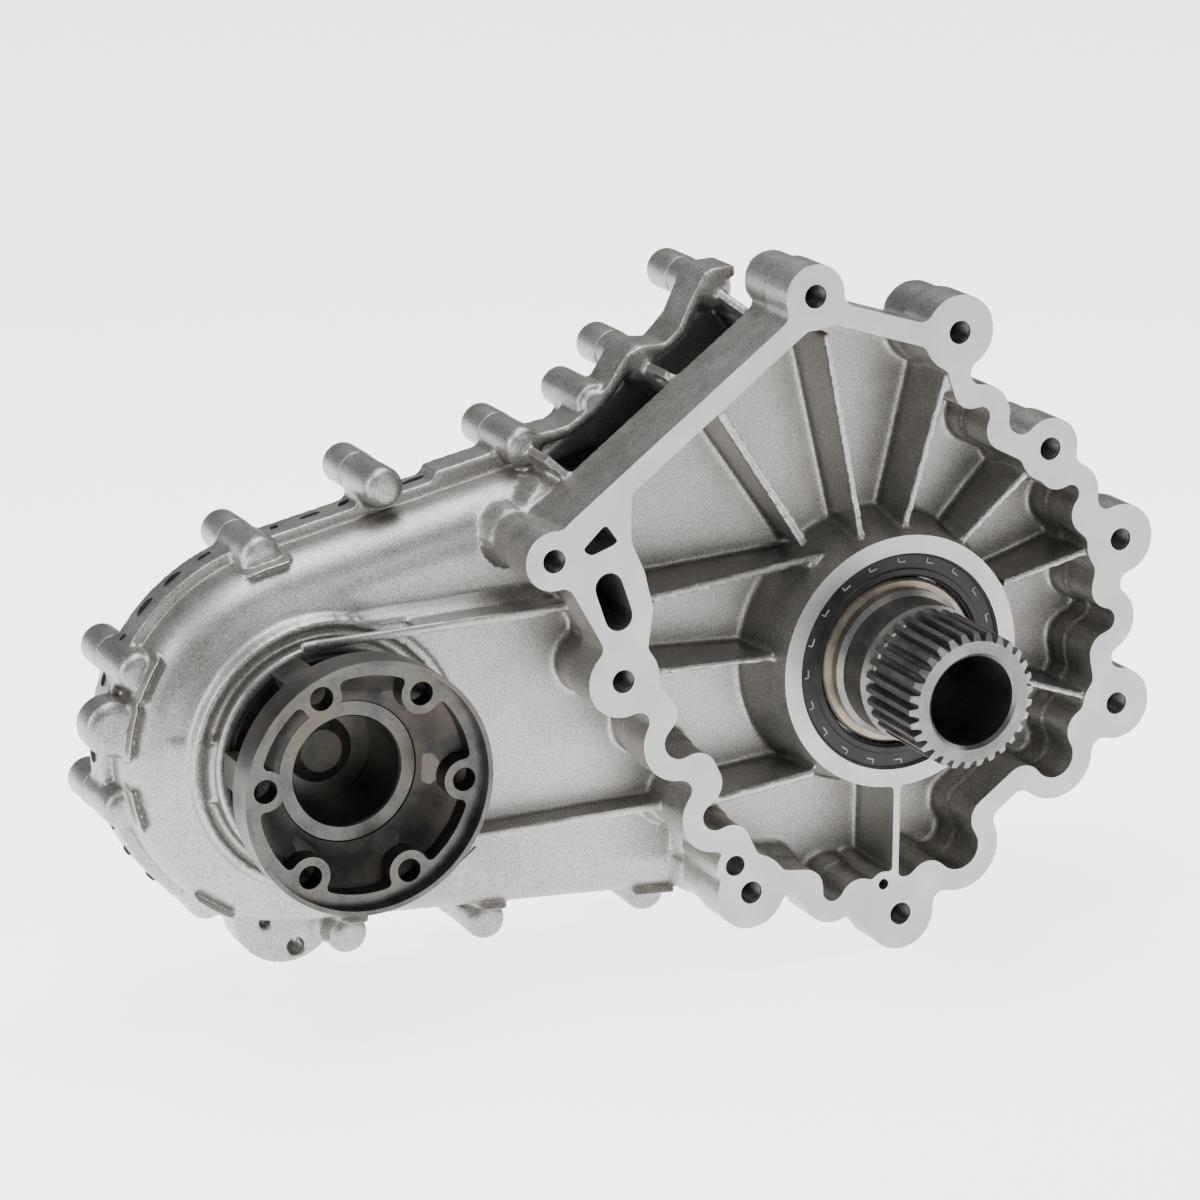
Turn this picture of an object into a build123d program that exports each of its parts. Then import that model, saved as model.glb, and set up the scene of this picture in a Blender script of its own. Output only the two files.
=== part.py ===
from build123d import *
from math import acos, cos, degrees, hypot, pi, radians, sin, tan
import os

# Transfer case: single speed, full time, chain driven.
# Millimetres. X runs to the right and Z up as the case is seen from the front; Y runs rearward.
# The origin is the main axis where it crosses the bell's mounting face.

# Fits
seat = 0.03            # radial clearance of a pressed or located ring
running = 0.05         # radial clearance of a shaft in its bush
air = 0.3              # gap between parts that turn past each other

# Chain and axes
chain_pitch = 9.525
sprocket_teeth = 36
chain_links = 88
chain_width = 26.0
chain_front = 60.0
axis_drop_angle = 4.05  # the front output lies this much below the main axis, degrees
pitch_radius = chain_pitch / (2 * sin(pi / sprocket_teeth))
centre_distance = (chain_links - sprocket_teeth) / 2 * chain_pitch
out_x = -centre_distance * cos(radians(axis_drop_angle))
out_z = -centre_distance * sin(radians(axis_drop_angle))
out = (out_x, out_z)
main = (0.0, 0.0)
chain_back = chain_front + chain_width
chain_angle = 180 + axis_drop_angle
tooth_step = 360 / sprocket_teeth

# Case stations along Y and walls
wall = 4.5
rim_depth = 21.0
bell_floor = 33.0
case_front = 37.0
seam = 82.0
flange_front = 73.0
flange_back = 90.0
rear_wall_back = 94.0
rear_wall_front = rear_wall_back - wall
flange_width = 4.5
main_case_radius = 118.0
out_case_radius = 84.5
shoulder = 15.0
rear_shoulder = 6.0
case_inside = case_front + wall

# Bell flange: (x, z, radius) of the threaded lugs and of the bulges between them
lug_a = (-43.6, 162.2, 13.5)
lug_b = (24.8, 140.5, 16.0)
lug_c = (70.3, 85.4, 13.5)
lug_d = (106.9, 41.1, 15.7)
lug_e = (107.7, -33.2, 16.0)
lug_f = (2.1, -113.9, 16.0)
lug_g = (-70.3, -92.8, 16.0)
lug_i = (-130.4, 8.9, 15.6)
lug_j = (-161.5, 64.0, 12.6)
lugs = [lug_a, lug_b, lug_c, lug_d, lug_e, lug_f, lug_g, lug_i, lug_j]
bulges = [
    (36.0, 103.0, 14.0), (81.0, 64.0, 14.0), (100.0, 5.5, 15.0), (77.0, -53.5, 19.0),
    (30.0, -88.0, 19.5), (-31.0, -98.0, 14.5), (-87.0, -56.0, 16.0), (-104.0, -21.0, 17.0),
]
wall_corner = (-155.0, 79.0)  # where the straight upper left wall starts beside lug_j
bell_path = [
    lug_a, lug_b, bulges[0], lug_c, bulges[1], lug_d, bulges[2], lug_e, bulges[3], bulges[4],
    lug_f, bulges[5], lug_g, bulges[6], bulges[7], lug_i, lug_j, wall_corner,
]
wide_land = [          # edge of the wide land at the upper left of the bell's face
    (-110, -8), (-116, 14), (-119.4, 21), (-117, 38), (-121, 55), (-127, 68),
    (-127, 88), (-170, 100), (-190, 30), (-140, -15),
]
cavity_fillet = 3.5
cavity_draft = 1.5     # the cavity narrows by this much at its floor
back_step = 2.5        # the bell's wall steps in by this much behind the rim
band_width = 9.5
scallop_fillet = 5.0
lug_clear = 0.8
lug_depth = 42.0
lug_thread = 8.5       # tapping size of M10
lug_thread_depth = 26.0
lug_chamfer = 1.2
lug_draft = 1.5
dowel_hole = (-78.1, -79.6, 9.25)
dowel_hole_depth = 16.0
dowel_boss = 8.5
vent_hole = (-6.5, -99.2, 5.3)
vent_boss = 5.9

# Ring round the input shaft
ring_face = 55.0
ring_root = 61.0
seal_bore = 95.0
bearing_front = 14.0
bearing_width = 18.0
bearing_lip = 42.0
bearing_back = bearing_front + bearing_width

# Input shaft
shaft_tip = -61.0
spline_length = 39.0
spline_teeth = 30
spline_tip = 29.2
spline_root = 25.8
journal = 30.0
shaft_bore = 19.3
tail_radius = 16.5
tail_start = 40.0
shaft_bore_end = 39.0
spline_back = shaft_tip + spline_length
deflector_radius = 36.0

# Differential
module = 2.0
sun_teeth = 24
planet_teeth = 15
ring_teeth = 54
planets = 3
backlash = 0.4
gear_front = 93.0
gear_width = 22.0
plate_front = 4.5
plate_back = 5.5
strut_radius = 8.5
planet_pin = 5.0
drum_wall = 4.6
gear_back = gear_front + gear_width
shaft_end = gear_back + air + plate_back
sleeve_radius = 21.3
sleeve_front = 58.0
drum_radius = module * (ring_teeth / 2 + 1.2) + drum_wall
drum_back = shaft_end + 7.4

# Front output
flange_rim = 53.4
flange_lip_front = -10.3
flange_face = -5.0
flange_plate = 9.0
flange_lip = 2.0
flange_pcd = 86.0
flange_hole = 10.0
flange_holes = 6
flange_phase = -4.8
flange_lobe = 8.6
flange_window = 46.0
hub_face = 15.0
hub_radius = 29.5
hub_flare = 36.5
hub_bore = 23.0
hub_bore_end = 48.0
nose_radius = 58.0
nose_front = 32.0
nose_back = 50.0
nose_bore = 44.5
output_seal_back = 42.0
output_bearing_outer = 42.5
output_bearing_back = 56.0
hub_tube = 30.0
hub_tube_back = 58.5
output_stub = 12.0
output_body = 18.0
tail_shaft = 15.0
tail_outer = 31.0
tail_width = 16.0
tail_back = 107.0
tail_boss = 37.0

# Rear end
drum_clearance = 5.5
barrel_radius = drum_radius + drum_clearance + wall
barrel_back = 135.0
bearing_boss = 47.0
rear_nose = 37.0
rear_nose_back = 165.0
rear_rib_root = 92.0
rear_rib_top = 104.0
rear_shaft = 20.0
rear_shaft_end = 199.0
rear_bearing_outer = 40.0
rear_bearing_back = 150.0
rear_seal_front = 154.0
rear_seal_outer = 34.0
rear_hub_radius = 27.0
rear_hub_end = 165.4
rear_hub_back = 185.0
rear_flange_face = 189.0
rear_flange_plate = 11.0
rear_flange_pcd = 110.0
rear_flange_hole = 12.0
rear_flange_lobe = 15.0

# Joint bolts, in bosses round the seam
boss_radius = 8.6
dome_front = 61.0
dome_nose = 2.4         # the dome's tip is this much smaller, over its first few mm
boss_back = 102.0
bolt_rise = 0.6         # the main end's bolts lie this far outside its outline
bolt_radius = 4.0
bolt_play = 0.5
bolt_tip = 67.0
washer_radius = 8.2
washer_height = 1.6
head_half = 6.5
head_height = 6.4
dowel_radius = 4.0
dowel_length = 14.0
plug_radius = 12.0
plug_boss = 17.0
plug_face = 101.0
breather_radius = 5.0
breather_depth = 112.0
foot = (-252.0, -96.0)  # plate at the lower left of the joint flange
foot_radius = 24.0
foot_hole = (-248.3, -113.3)
foot_hole_radius = 3.75
end_dome = (-330.0, -2.0)
end_dome_radius = 12.0
horn = [                # outline of the joint flange's horn at the upper left
    (-182, 86), (-130, 97), (-112, 108), (-95, 116), (-75, 135), (-64, 147), (-50, 150),
    (-42, 100), (-100, 60), (-180, 60),
]
saddle = [              # between the bell's straight wall and the horn
    (-150, 76), (-62, 143), (-38, 143), (-30, 100), (-100, 50), (-140, 40),
]
upper_rib = ((-262.0, 33.6), (-143.0, 35.8))
lower_rib = ((-196.0, -58.6), (-97.0, -56.8))
rib_front = 24.0
gussets = [((-92.3, 125.4), (-84.0, 122.0)), ((-146.4, 95.4), (-134.0, 84.0))]
web_back = bell_floor + 1
bell_webs = [           # start and end (x, z), front edge at each, back, thickness
    ((-40, 53), (-86.4, 118), 12, 1, web_back, 4),
    ((-15.5, 55), (-37.5, 146), 8, 1, web_back, 3),
    ((5.5, 57), (21.5, 127), 8, 1, web_back, 3),
    ((34, 46.5), (62, 77), 9, 1, web_back, 3),
    ((54, 25.5), (95, 38), 8, 1, web_back, 3),
    ((57, -17), (94, -29), 8, 1, web_back, 3),
    ((-0.8, -56), (-0.8, -100), 0, 0, web_back, 3),
    ((-37, -46.5), (-97, -51), 6, 1, web_back, 4),
    ((-57, 7), (-118, 10.5), 8, 1, web_back, 3),
    ((-30, 47), (-119, 42), 13, 1, web_back, 3.7),
]


def around(at, radius, angle):
    # a place at a radius and an angle from an axis
    return (at[0] + radius * cos(radians(angle)), at[1] + radius * sin(radians(angle)))


def beside_case(side, share, beyond):
    # a place beyond the case's straight top (side 1) or bottom (side -1), at a share of the way to the output
    normal = chain_angle - side * degrees(acos((main_case_radius - out_case_radius) / centre_distance))
    near = around(main, main_case_radius + beyond, normal)
    far = around(out, out_case_radius + beyond, normal)
    return (near[0] + share * (far[0] - near[0]), near[1] + share * (far[1] - near[1]))


seam_bolts = [
    (-59.0, 154.5), (-92.3, 125.4), beside_case(1, 0.504, 5.4), beside_case(1, 0.766, 8.3),
    *[around(out, out_case_radius - inside, angle)
      for angle, inside in ((102.3, 2.6), (152.4, 4.0), (193.9, 3.2), (235.7, 6.4))],
    beside_case(-1, 0.903, 3.65), beside_case(-1, 0.644, 3.5), beside_case(-1, 0.337, -2.4),
    *[around(main, main_case_radius + bolt_rise, angle) for angle in (284.7, 323.9, 1.9, 34.4, 71.3)],
]
dowels = [(-113.0, 110.0), around(main, main_case_radius - 0.4, 342.2)]
fill_place = beside_case(1, 0.6, -40.2)
drain_place = beside_case(-1, 0.59, -32.4)


def station(y):
    # a plane that faces forward at depth y, with X and Z as its axes
    return Plane.XZ.offset(-y)


def beside(x, z):
    # a plane through an axis that runs along Y: its own x is a radius and its own y is depth
    return Plane(origin=(x, 0, z), x_dir=(1, 0, 0), z_dir=(0, 0, 1))


def turn(points, at=main):
    # a closed profile of (radius, depth) points, turned about an axis along Y
    with BuildSketch(beside(*at)) as profile:
        with BuildLine():
            Polyline(*points, close=True)
        make_face()
    return revolve(profile.sketch, axis=Axis((at[0], 0, at[1]), (0, 1, 0)), mode=Mode.PRIVATE)


def tube(outer, inner, front, back, at=main):
    return turn([(inner, front), (outer, front), (outer, back), (inner, back)], at)


def rod(radius, front, back, at=main):
    return turn([(0, front), (radius, front), (radius, back), (0, back)], at)


def block(sketch, front, back):
    # a sketch drawn at depth front, made solid to depth back
    return extrude(sketch, amount=front - back, mode=Mode.PRIVATE)


def rods(places, radius, front, back):
    # the same rod at several (x, z) places
    with BuildSketch(station(front)) as discs:
        with Locations(*[place[:2] for place in places]):
            Circle(radius)
    return block(discs.sketch, front, back)


def slab(points, front, back):
    with BuildSketch(station(front)) as plate:
        with BuildLine():
            Polyline(*points, close=True)
        make_face()
    return block(plate.sketch, front, back)


def rib(start, end, start_front, end_front, back, thick):
    # an upright web from one (x, z) point to another, with a sloping front edge
    run = hypot(end[0] - start[0], end[1] - start[1])
    along = ((end[0] - start[0]) / run, 0, (end[1] - start[1]) / run)
    plane = Plane(origin=(start[0], 0, start[1]), x_dir=along, z_dir=(-along[2], 0, along[0]))
    # the plane's own y points along +Y or -Y, so the depths take its sign
    way = plane.y_dir.Y
    with BuildSketch(plane) as web:
        with BuildLine():
            Polyline((0, way * start_front), (run, way * end_front), (run, way * back), (0, way * back),
                     close=True)
        make_face()
    return extrude(web.sketch, amount=thick / 2, both=True, mode=Mode.PRIVATE)


def bell_outline(y, inset=0.0):
    # the scalloped outline: lugs and bulges along the bell's path, with the hollows between them filleted
    with BuildSketch(station(y)) as outline:
        with BuildLine():
            Polyline(*[place[:2] for place in bell_path], close=True)
        make_face()
        for x, z, radius in bulges + lugs:
            with Locations((x, z)):
                Circle(radius)
        offset(amount=scallop_fillet)
        offset(amount=-scallop_fillet - inset)
    return outline.sketch


def bell_cavity(y, inset=0.0):
    # the inside follows the bulges, and leaves the wide land and room round each lug
    with BuildSketch(station(y)) as cavity:
        with BuildLine():
            Polyline(*[place[:2] for place in bell_path], close=True)
        make_face()
        for x, z, radius in bulges:
            with Locations((x, z)):
                Circle(radius)
        offset(amount=-band_width - inset)
        with BuildLine():
            Polyline(*wide_land, close=True)
        make_face(mode=Mode.SUBTRACT)
        for x, z, radius in lugs:
            with Locations((x, z)):
                Circle(radius + lug_clear + inset, mode=Mode.SUBTRACT)
        offset(amount=-cavity_fillet)
        offset(amount=cavity_fillet)
    return cavity.sketch


def case_hull(y, inset=0.0):
    with BuildSketch(station(y)) as hull:
        with Locations(main):
            Circle(main_case_radius - inset)
        with Locations(out):
            Circle(out_case_radius - inset)
        make_hull()
    return hull.sketch


def seam_outline(y):
    # the joint flange: the case's outline, the horn at the upper left and a boss for each bolt
    with BuildSketch(station(y)) as flange:
        with Locations(main):
            Circle(main_case_radius)
        with Locations(out):
            Circle(out_case_radius)
        make_hull()
        with BuildLine():
            Polyline(*horn, close=True)
        make_face()
        for x, z in seam_bolts + dowels:
            with Locations((x, z)):
                Circle(boss_radius)
        offset(amount=4)
        offset(amount=-4)
    return flange.sketch


def gear_outline(teeth, phase=0.0, play=-backlash, addendum=0.9, dedendum=1.2):
    # involute teeth, as (x, z) points: three on each flank
    pitch = module * teeth / 2
    base = pitch * cos(radians(20))

    def flank(radius):
        turn_in = 0.0
        if radius > base:
            pressure = acos(base / radius)
            turn_in = tan(pressure) - pressure
        start = tan(radians(20)) - radians(20)
        return pi / (2 * teeth) + start - turn_in + play / 2 / pitch

    radii = (pitch - dedendum * module, pitch, pitch + addendum * module)
    points = []
    for tooth in range(teeth):
        middle = radians(phase) + 2 * pi * tooth / teeth
        for radius in radii:
            points.append((radius * cos(middle - flank(radius)), radius * sin(middle - flank(radius))))
        for radius in reversed(radii):
            points.append((radius * cos(middle + flank(radius)), radius * sin(middle + flank(radius))))
    return points


def straight_teeth(teeth, root, tip, root_half, tip_half, phase=0.0):
    # straight-sided teeth for a spline or a sprocket, as (x, z) points
    points = []
    for tooth in range(teeth):
        middle = radians(phase) + 2 * pi * tooth / teeth
        for radius, half in ((root, -root_half), (tip, -tip_half), (tip, tip_half), (root, root_half)):
            points.append((radius * cos(middle + half / radius), radius * sin(middle + half / radius)))
    return points


def toothed_face(points, y, at=main):
    with BuildSketch(station(y)) as teeth:
        with BuildLine():
            Polyline(*[(x + at[0], z + at[1]) for x, z in points], close=True)
        make_face()
    return teeth.sketch


def finish(piece, name):
    piece.label = name
    export_step(piece, f"parts/{name}.step")


os.makedirs("parts", exist_ok=True)

# The chain's space inside the front case, open at the seam
with BuildPart() as chain_space:
    add(block(case_hull(case_inside, flange_width + wall), case_inside, seam + 1))
    fillet(chain_space.faces().sort_by(Axis.Y)[0].edges(), shoulder - wall)

# Front case: the chain case's front half with the bell flange cast on
with BuildPart() as front_case:
    add(block(case_hull(case_front, flange_width), case_front, flange_front + 1))
    fillet(front_case.faces().sort_by(Axis.Y)[0].edges(), shoulder)
    add([
        block(seam_outline(flange_front), flange_front, seam),
        slab(saddle, bell_floor, flange_front + 1),
        # bell: rim, then the wall and the lug columns behind it
        block(bell_outline(0), 0, rim_depth),
        block(bell_outline(rim_depth, back_step), rim_depth, case_front + 1),
        *[rod(radius - lug_draft, rim_depth, lug_depth, (x, z)) for x, z, radius in lugs],
        # domes of the joint bolts
        rods(seam_bolts + dowels, boss_radius, dome_front + 3, flange_front + 1),
        rods(seam_bolts + dowels, boss_radius - dome_nose, dome_front, dome_front + 3),
        rod(end_dome_radius, dome_front + 1, flange_front + 1, end_dome),
        rod(foot_radius, flange_front, seam, foot),
        # output nose
        turn([(0, nose_front), (nose_radius, nose_front), (nose_radius + 2, nose_back), (0, nose_back)], out),
        # ribs on the chain case's front, and gussets from the domes to the bell wall
        rib(*upper_rib, rib_front, rib_front, case_front + 6, 4),
        rib(*lower_rib, rib_front, rib_front, case_front + 6, 4),
        *[rib(*ends, 40, 34, flange_front + 1, 4) for ends in gussets],
    ])
    add([
        block(bell_cavity(-1), -1, rim_depth),
        block(bell_cavity(rim_depth, cavity_draft), rim_depth, bell_floor),
        chain_space.part,
    ], mode=Mode.SUBTRACT)
    add([
        # ring round the input shaft, and the bearing housing of the output
        turn([(30, 0), (ring_face, 0), (ring_root, web_back), (ring_root, case_inside), (30, case_inside)]),
        tube(nose_bore + 4, 30, nose_front + 1, output_bearing_back + 2.5, out),
        *[rib(*web) for web in bell_webs],
        rod(vent_boss, 0, web_back, vent_hole[:2]),
        rod(dowel_boss, 0, web_back, dowel_hole[:2]),
    ])
    # pear-shaped hole through the land
    with BuildSketch(station(-1)) as pear:
        with Locations((-137.0, 50.0), (-132.5, 37.0)):
            Circle(6.2)
        make_hull()
    add([
        # bearing and seal seats of the two shafts
        rod(seal_bore / 2, -1, bearing_back),
        rod(bearing_lip, bearing_back - 1, case_inside + 1),
        turn([(seal_bore / 2 - 1, -1), (seal_bore / 2 + 2, -1), (seal_bore / 2 - 1, 2)]),
        tube(seal_bore / 2 + 1.8, seal_bore / 2 - 1, bearing_front - 2.3, bearing_front - 0.1),
        rod(nose_bore, nose_front - 1, output_seal_back, out),
        rod(output_bearing_outer, output_seal_back - 1, output_bearing_back, out),
        rod(output_bearing_outer - 4.5, output_bearing_back - 1, output_bearing_back + 4, out),
        # threaded holes, dowel holes, vent and bolt holes
        rods(lugs, lug_thread / 2, -1, lug_thread_depth),
        *[turn([(0, -1), (lug_thread / 2 + lug_chamfer + 1, -1), (lug_thread / 2, lug_chamfer),
                (0, lug_chamfer)], (x, z)) for x, z, radius in lugs],
        rod(dowel_hole[2] / 2, -1, dowel_hole_depth, dowel_hole[:2]),
        rod(vent_hole[2] / 2, -1, 20, vent_hole[:2]),
        rods(seam_bolts, bolt_radius + seat, bolt_tip - 2, seam + 1),
        rods(dowels, dowel_radius + seat, seam - dowel_length / 2, seam + 1),
        rod(3.75, flange_front - 1, seam + 1, (-248.3, -113.3)),
        rod(2.5, flange_front - 1, flange_front + 6, (-262.0, -100.5)),
        block(pear.sketch, -1, lug_depth),
        slab([(-149, 67), (-145, 64.2), (-132.5, 68.5), (-138.5, 77)], -1, 24),
    ], mode=Mode.SUBTRACT)
finish(front_case.part, "front_case")

# Rear case: the back half, with the differential's barrel, the rear nose and the tail bearing's pocket
with BuildPart() as rear_case:
    add(block(case_hull(seam, flange_width), seam, rear_wall_back))
    fillet(rear_case.faces().sort_by(Axis.Y)[-1].edges(), rear_shoulder)
    add([
        block(seam_outline(seam), seam, flange_back),
        rods(seam_bolts + dowels, boss_radius, flange_back - 1, boss_back),
        rod(foot_radius, seam, flange_back, foot),
        turn([(0, seam), (barrel_radius + 3, seam), (barrel_radius, barrel_back - 6),
              (barrel_radius - 6, barrel_back), (bearing_boss, barrel_back + 1),
              (bearing_boss, 152), (rear_nose + 3, 155), (rear_nose, rear_nose_back),
              (0, rear_nose_back)]),
        turn([(0, seam), (tail_boss + 2, seam), (tail_boss, tail_back + 4),
              (tail_boss - 5, tail_back + 8), (0, tail_back + 8)], out),
        *[rib(around(main, barrel_radius - 19, angle), around(main, main_case_radius - 6, angle),
              rear_rib_root, rear_rib_root, rear_rib_top, 5) for angle in (30, 75, 120, 210, 255, 300, 345)],
        *[rib(around(main, barrel_radius - 8, angle), (out_x + 30, out_z + rise), rear_rib_root,
              rear_rib_root, rear_rib_top - 2, 4) for angle, rise in ((161.6, 22), (201.8, -22))],
        rod(plug_boss, rear_rib_root, plug_face, fill_place),
        rod(plug_boss, rear_rib_root, plug_face, drain_place),
        slab([(-14, barrel_radius - 11), (14, barrel_radius - 11), (14, barrel_radius + 11),
              (-14, barrel_radius + 11)], breather_depth - 12, breather_depth + 12),
    ])
    add([
        block(case_hull(seam - 1, flange_width + wall), seam - 1, rear_wall_front),
        rod(barrel_radius - wall, seam - 1, barrel_back - wall),
    ], mode=Mode.SUBTRACT)
    add([
        tube(rear_bearing_outer + 6, 30, barrel_back - wall + 0.5, barrel_back + 1),
        tube(tail_boss, 20, rear_wall_front - 1, tail_back + 1, out),
    ])
    add([
        rod(rear_bearing_outer, barrel_back - wall - 1, rear_bearing_back),
        rod(rear_shaft + 9, rear_bearing_back - 1, rear_seal_front + 1),
        rod(rear_seal_outer, rear_seal_front, rear_nose_back + 1),
        rod(tail_outer, seam - 1, tail_back, out),
        rods(seam_bolts, bolt_radius + bolt_play, seam - 1, boss_back + 1),
        rods(dowels, dowel_radius + seat, seam - 1, seam + dowel_length / 2),
        rod(foot_hole_radius, seam - 1, flange_back + 1, foot_hole),
        rod(plug_radius, rear_wall_front - 1, plug_face + 1, fill_place),
        rod(plug_radius, rear_wall_front - 1, plug_face + 1, drain_place),
        Solid.make_cylinder(
            breather_radius, 40, Plane(origin=(0, breather_depth, barrel_radius - 21), z_dir=(0, 0, 1))),
    ], mode=Mode.SUBTRACT)
finish(rear_case.part, "rear_case")

# Fasteners and fittings of the case
with BuildPart() as case_bolts:
    with BuildSketch(station(boss_back + washer_height)) as heads:
        with Locations(*seam_bolts):
            RegularPolygon(head_half, 6, major_radius=False)
    add([
        rods(seam_bolts, bolt_radius, bolt_tip, boss_back),
        rods(seam_bolts, washer_radius, boss_back, boss_back + washer_height),
        block(heads.sketch, boss_back + washer_height, boss_back + washer_height + head_height),
    ])
finish(case_bolts.part, "case_bolts")

with BuildPart() as dowel_pins:
    add(rods(dowels, dowel_radius, seam - dowel_length / 2 + 0.5, seam + dowel_length / 2 - 0.5))
finish(dowel_pins.part, "dowel_pins")

for name, place in (("fill_plug", fill_place), ("drain_plug", drain_place)):
    with BuildPart() as plug:
        with BuildSketch(station(plug_face)) as socket:
            with Locations(place):
                RegularPolygon(5, 6, major_radius=False)
        add([rod(plug_radius - seat, rear_wall_back - 3, plug_face, place),
             rod(plug_boss - 2, plug_face, plug_face + 4, place)])
        add(block(socket.sketch, plug_face - 5, plug_face + 5), mode=Mode.SUBTRACT)
    finish(plug.part, name)

with BuildPart() as breather:
    stem = Plane(origin=(0, breather_depth, barrel_radius), x_dir=(1, 0, 0), z_dir=(0, -1, 0))
    with BuildSketch(stem) as outline:
        with BuildLine():
            Polyline((0, -1), (breather_radius - seat, -1), (breather_radius - seat, 11), (8, 11),
                     (8, 15), (4, 17), (4, 21), (6.5, 22), (6.5, 26), (0, 27), close=True)
        make_face()
    revolve(axis=Axis((0, breather_depth, 0), (0, 0, 1)))
finish(breather.part, "breather")

# Bearings: an outer ring in the case and an inner ring on the shaft
bearings = [
    ("input_bearing", main, journal, seal_bore / 2, bearing_front, bearing_back),
    ("output_bearing", out, hub_tube, output_bearing_outer, output_seal_back + 1, output_bearing_back),
    ("tail_bearing", out, tail_shaft, tail_outer, tail_back - tail_width, tail_back),
    ("rear_bearing", main, rear_shaft, rear_bearing_outer, rear_bearing_back - 18, rear_bearing_back),
]
for name, at, inner, outer, front, back in bearings:
    split_at = (inner + outer) / 2
    groove = (outer - inner) / 5
    with BuildPart() as outer_ring:
        add(turn([(split_at + air / 2, front + 1), (outer - groove, front + 1), (outer - groove, front),
                  (outer - seat, front), (outer - seat, back), (outer - groove, back),
                  (outer - groove, back - 1), (split_at + air / 2, back - 1)], at))
    finish(outer_ring.part, name + "_outer_ring")
    with BuildPart() as inner_ring:
        add(turn([(inner + seat, front), (inner + groove, front), (inner + groove, front + 1),
                  (split_at - air / 2, front + 1), (split_at - air / 2, back - 1),
                  (inner + groove, back - 1), (inner + groove, back), (inner + seat, back)], at))
    finish(inner_ring.part, name + "_inner_ring")

with BuildPart() as bearing_circlip:
    add(tube(seal_bore / 2 + 1.5, seal_bore / 2 - 3, bearing_front - 2.1, bearing_front - 0.2))
    add(slab([(-6, -60), (6, -60), (6, -30), (-6, -30)], 0, bearing_front), mode=Mode.SUBTRACT)
finish(bearing_circlip.part, "bearing_circlip")

# Shaft seals
with BuildPart() as input_seal:
    add(turn([(deflector_radius + 1, 2.4), (40, 1.6), (seal_bore / 2 - 1.4, 1.6), (seal_bore / 2 - seat, 3),
              (seal_bore / 2 - seat, 11), (deflector_radius + 3, 11), (deflector_radius + 1, 8)]))
finish(input_seal.part, "input_seal")
with BuildPart() as output_seal:
    add(turn([(hub_tube + air, 34), (nose_bore - 2, 33.4), (nose_bore - seat, 34.5),
              (nose_bore - seat, output_seal_back - 0.3),
              (hub_tube + 3, output_seal_back - 0.3), (hub_tube + air, 38)], out))
finish(output_seal.part, "output_seal")
with BuildPart() as rear_seal:
    add(turn([(rear_hub_radius + air, 157), (rear_hub_radius + air, 162), (rear_seal_outer - 3, 163),
              (rear_seal_outer - seat, 162), (rear_seal_outer - seat, rear_seal_front + 0.2),
              (rear_hub_radius + 3, rear_seal_front + 0.2)]))
finish(rear_seal.part, "rear_seal")

# Input shaft, hollow and splined, with its deflector
with BuildPart() as input_shaft:
    add(block(toothed_face(straight_teeth(spline_teeth, spline_root, spline_tip, 1.9, 1.15, 3), shaft_tip),
              shaft_tip, spline_back))
    add(turn([(0, spline_back - 1), (spline_root, spline_back - 1), (spline_root + 0.5, spline_back),
              (journal, spline_back + 3), (journal, -4), (journal + 2.2, -2), (journal + 2.2, 2),
              (journal, 2), (journal, tail_start), (tail_radius, tail_start + 2), (tail_radius, shaft_end),
              (0, shaft_end)]))
    add([
        turn([(shaft_bore + 1, shaft_tip - 1), (spline_tip + 2, shaft_tip - 1), (spline_tip + 2, shaft_tip + 3),
              (spline_root - 0.5, shaft_tip - 0.4)]),
        turn([(0, shaft_tip - 1), (shaft_bore + 2.5, shaft_tip - 1), (shaft_bore, shaft_tip + 1.5),
              (shaft_bore, shaft_bore_end - 8), (0, shaft_bore_end)]),
    ], mode=Mode.SUBTRACT)
finish(input_shaft.part, "input_shaft")
with BuildPart() as shaft_spacer:
    add(tube(sleeve_radius + 3, tail_radius + seat, tail_start + 2, sleeve_front - air))
finish(shaft_spacer.part, "shaft_spacer")
with BuildPart() as dust_deflector:
    add(turn([(journal + seat, 2.1), (deflector_radius - 1, 2.1), (deflector_radius, 3.2), (deflector_radius, 7),
              (journal + 3, 9), (journal + seat, 9)]))
finish(dust_deflector.part, "dust_deflector")

# Differential: carrier, planets and their pins, sun with its sleeve, ring gear drum
planet_angles = [90 + 360 / planets * k for k in range(planets)]
planet_circle = module * (sun_teeth + planet_teeth) / 2
planet_places = [around(main, planet_circle, angle) for angle in planet_angles]
strut_places = [around(main, planet_circle, angle + 60) for angle in planet_angles]
with BuildPart() as planet_carrier:
    add([
        tube(50, sleeve_radius + air + 0.5, gear_front - air - plate_front, gear_front - air),
        tube(50, tail_radius + seat, gear_back + air, gear_back + air + plate_back),
        rods(strut_places, strut_radius, gear_front - air - 1, gear_back + air + 1),
    ])
    add(rods(planet_places, planet_pin + seat, gear_front - 10, gear_back + 12), mode=Mode.SUBTRACT)
finish(planet_carrier.part, "planet_carrier")
with BuildPart() as planet_pins:
    add(rods(planet_places, planet_pin, gear_front - air - plate_front, gear_back + air + plate_back))
finish(planet_pins.part, "planet_pins")
for k in range(planets):
    # a space of this gear faces the sun
    phase = planet_angles[k] + 180 + 180 / planet_teeth
    with BuildPart() as planet:
        teeth = toothed_face(gear_outline(planet_teeth, phase), gear_front, planet_places[k])
        add(block(teeth, gear_front, gear_back))
        add(rod(planet_pin + running, gear_front - 1, gear_back + 1, planet_places[k]), mode=Mode.SUBTRACT)
    finish(planet.part, f"planet_gear_{k + 1}")
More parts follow.
